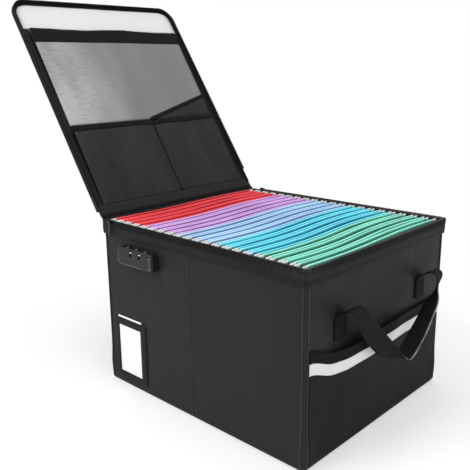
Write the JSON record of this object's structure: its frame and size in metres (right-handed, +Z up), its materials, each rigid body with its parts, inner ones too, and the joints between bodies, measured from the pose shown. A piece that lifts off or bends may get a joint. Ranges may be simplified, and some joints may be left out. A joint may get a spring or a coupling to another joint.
{
  "type": "portable file box",
  "caption": "Portable fabric file box with a zipped lid, a combination zip lock, carrying handles, pockets, a label holder and hanging folders.",
  "frame": {"origin": "middle of the base, on the surface that the box stands on", "axes": "+Z up, +X from the lid's hinge towards the pocket end, +Y from the wall with the lock towards the plain back wall"},
  "size_m": [0.6315, 0.3518, 0.5866],
  "materials": {
    "black_fabric": "coated weave, low sheen",
    "black_webbing": "woven webbing, matt",
    "black_mesh": "woven mesh, matt",
    "lining_fabric": "plain weave, matt",
    "stiffener_board": "bare grey board",
    "light_panel": "coated light lining, satin",
    "reflective_tape": "reflective tape, satin",
    "rail_plastic": "extruded, satin",
    "lock_plastic": "moulded, satin",
    "zip_plastic": "moulded, matt",
    "pin_steel": "plated, bright",
    "plate_steel": "pressed, plain",
    "slider_metal": "enamelled, satin",
    "clear_film": "clear plastic film",
    "card_paper": "white card",
    "hook_plastic": "white plastic, satin",
    "red_card": "dyed card, satin",
    "purple_card": "dyed card, satin",
    "blue_card": "dyed card, satin",
    "cyan_card": "dyed card, satin",
    "green_card": "dyed card, satin"
  },
  "bodies": {
    "box": {"base_cover": "black_fabric", "base_board": "stiffener_board", "wall_cover": "black_fabric", "wall_lining": "lining_fabric", "front_boards": "stiffener_board", "back_boards": "stiffener_board", "end_boards": "stiffener_board", "corner_piping": "black_fabric", "rim_band": "black_webbing", "box_zip_tape": "black_webbing", "box_zip_teeth": "zip_plastic", "hinge_tape": "black_webbing", "file_rails": "rail_plastic", "side_pocket_mesh": "black_mesh", "side_pocket_hem": "black_webbing", "reflective_strip": "reflective_tape", "right_handle_tabs": "black_webbing", "left_handle_tabs": "black_webbing", "lock_housing": "lock_plastic", "lock_pins": "pin_steel", "lock_back_plate": "plate_steel", "lock_rivets": "pin_steel", "label_frame": "black_fabric", "label_window": "clear_film", "zip_sliders": "slider_metal"},
    "lid": {"lid_cover": "black_fabric", "lid_board": "stiffener_board", "lid_lining": "lining_fabric", "lid_binding": "black_webbing", "lid_zip_tape": "black_webbing", "lid_zip_teeth": "zip_plastic", "lid_hinge_strip": "black_webbing", "document_pocket_mesh": "black_mesh", "document_pocket_hem": "black_webbing", "lower_pocket_mesh": "black_mesh", "lower_pocket_hem": "black_webbing", "corner_pocket_mesh": "black_mesh", "corner_pocket_hem": "black_webbing", "lid_light_panel": "light_panel"},
    "right_handle": {"right_handle_strap": "black_webbing"},
    "left_handle": {"left_handle_strap": "black_webbing"},
    "dial_1": {"lock_dial_1": "lock_plastic"},
    "dial_2": {"lock_dial_2": "lock_plastic"},
    "dial_3": {"lock_dial_3": "lock_plastic"},
    "release_button": {"lock_button": "lock_plastic"},
    "card": {"label_card": "card_paper"},
    "front_pull": {"zip_pull_front": "slider_metal"},
    "back_pull": {"zip_pull_back": "slider_metal"},
    "red_set": {"red_folders": "red_card", "red_folder_hooks": "hook_plastic"},
    "purple_set": {"purple_folders": "purple_card", "purple_folder_hooks": "hook_plastic"},
    "blue_set": {"blue_folders": "blue_card", "blue_folder_hooks": "hook_plastic"},
    "cyan_set": {"cyan_folders": "cyan_card", "cyan_folder_hooks": "hook_plastic"},
    "green_set": {"green_folders": "green_card", "green_folder_hooks": "hook_plastic"}
  },
  "joints": [
    {"name": "lid_hinge", "type": "hinge", "parent": "box", "child": "lid", "pos_m": [-0.193, 0, 0.264], "axis": [0, -1, 0], "range_deg": [-124, 98]},
    {"name": "right_handle_swing", "type": "hinge", "parent": "box", "child": "right_handle", "pos_m": [0.2105, 0, 0.199], "axis": [0, 1, 0], "range_deg": [-150, 7]},
    {"name": "left_handle_swing", "type": "hinge", "parent": "box", "child": "left_handle", "pos_m": [-0.2105, 0, 0.199], "axis": [0, -1, 0], "range_deg": [-150, 7]},
    {"name": "dial_1_turn", "type": "hinge", "parent": "box", "child": "dial_1", "pos_m": [-0.1229, -0.171, 0.2244], "axis": [1, 0, 0], "continuous": true},
    {"name": "dial_2_turn", "type": "hinge", "parent": "box", "child": "dial_2", "pos_m": [-0.1035, -0.171, 0.2244], "axis": [1, 0, 0], "continuous": true},
    {"name": "dial_3_turn", "type": "hinge", "parent": "box", "child": "dial_3", "pos_m": [-0.0841, -0.171, 0.2244], "axis": [1, 0, 0], "continuous": true},
    {"name": "release_slide", "type": "slide", "parent": "box", "child": "release_button", "axis": [-1, 0, 0], "range_m": [0, 0.002], "stiffness_N_per_m": 400},
    {"name": "card_slide", "type": "slide", "parent": "box", "child": "card", "axis": [0, 0, 1], "range_m": [0, 0.085]},
    {"name": "front_pull_swing", "type": "hinge", "parent": "box", "child": "front_pull", "pos_m": [-0.166, -0.1721, 0.2589], "axis": [1, 0, 0], "range_deg": [-150, 0]},
    {"name": "back_pull_swing", "type": "hinge", "parent": "box", "child": "back_pull", "pos_m": [-0.166, 0.1721, 0.2589], "axis": [-1, 0, 0], "range_deg": [-150, 0]},
    {"name": "red_set_lift", "type": "slide", "parent": "box", "child": "red_set", "axis": [0, 0, 1], "range_m": [0, 0.24]},
    {"name": "purple_set_lift", "type": "slide", "parent": "box", "child": "purple_set", "axis": [0, 0, 1], "range_m": [0, 0.24]},
    {"name": "blue_set_lift", "type": "slide", "parent": "box", "child": "blue_set", "axis": [0, 0, 1], "range_m": [0, 0.24]},
    {"name": "cyan_set_lift", "type": "slide", "parent": "box", "child": "cyan_set", "axis": [0, 0, 1], "range_m": [0, 0.24]},
    {"name": "green_set_lift", "type": "slide", "parent": "box", "child": "green_set", "axis": [0, 0, 1], "range_m": [0, 0.24]}
  ]
}
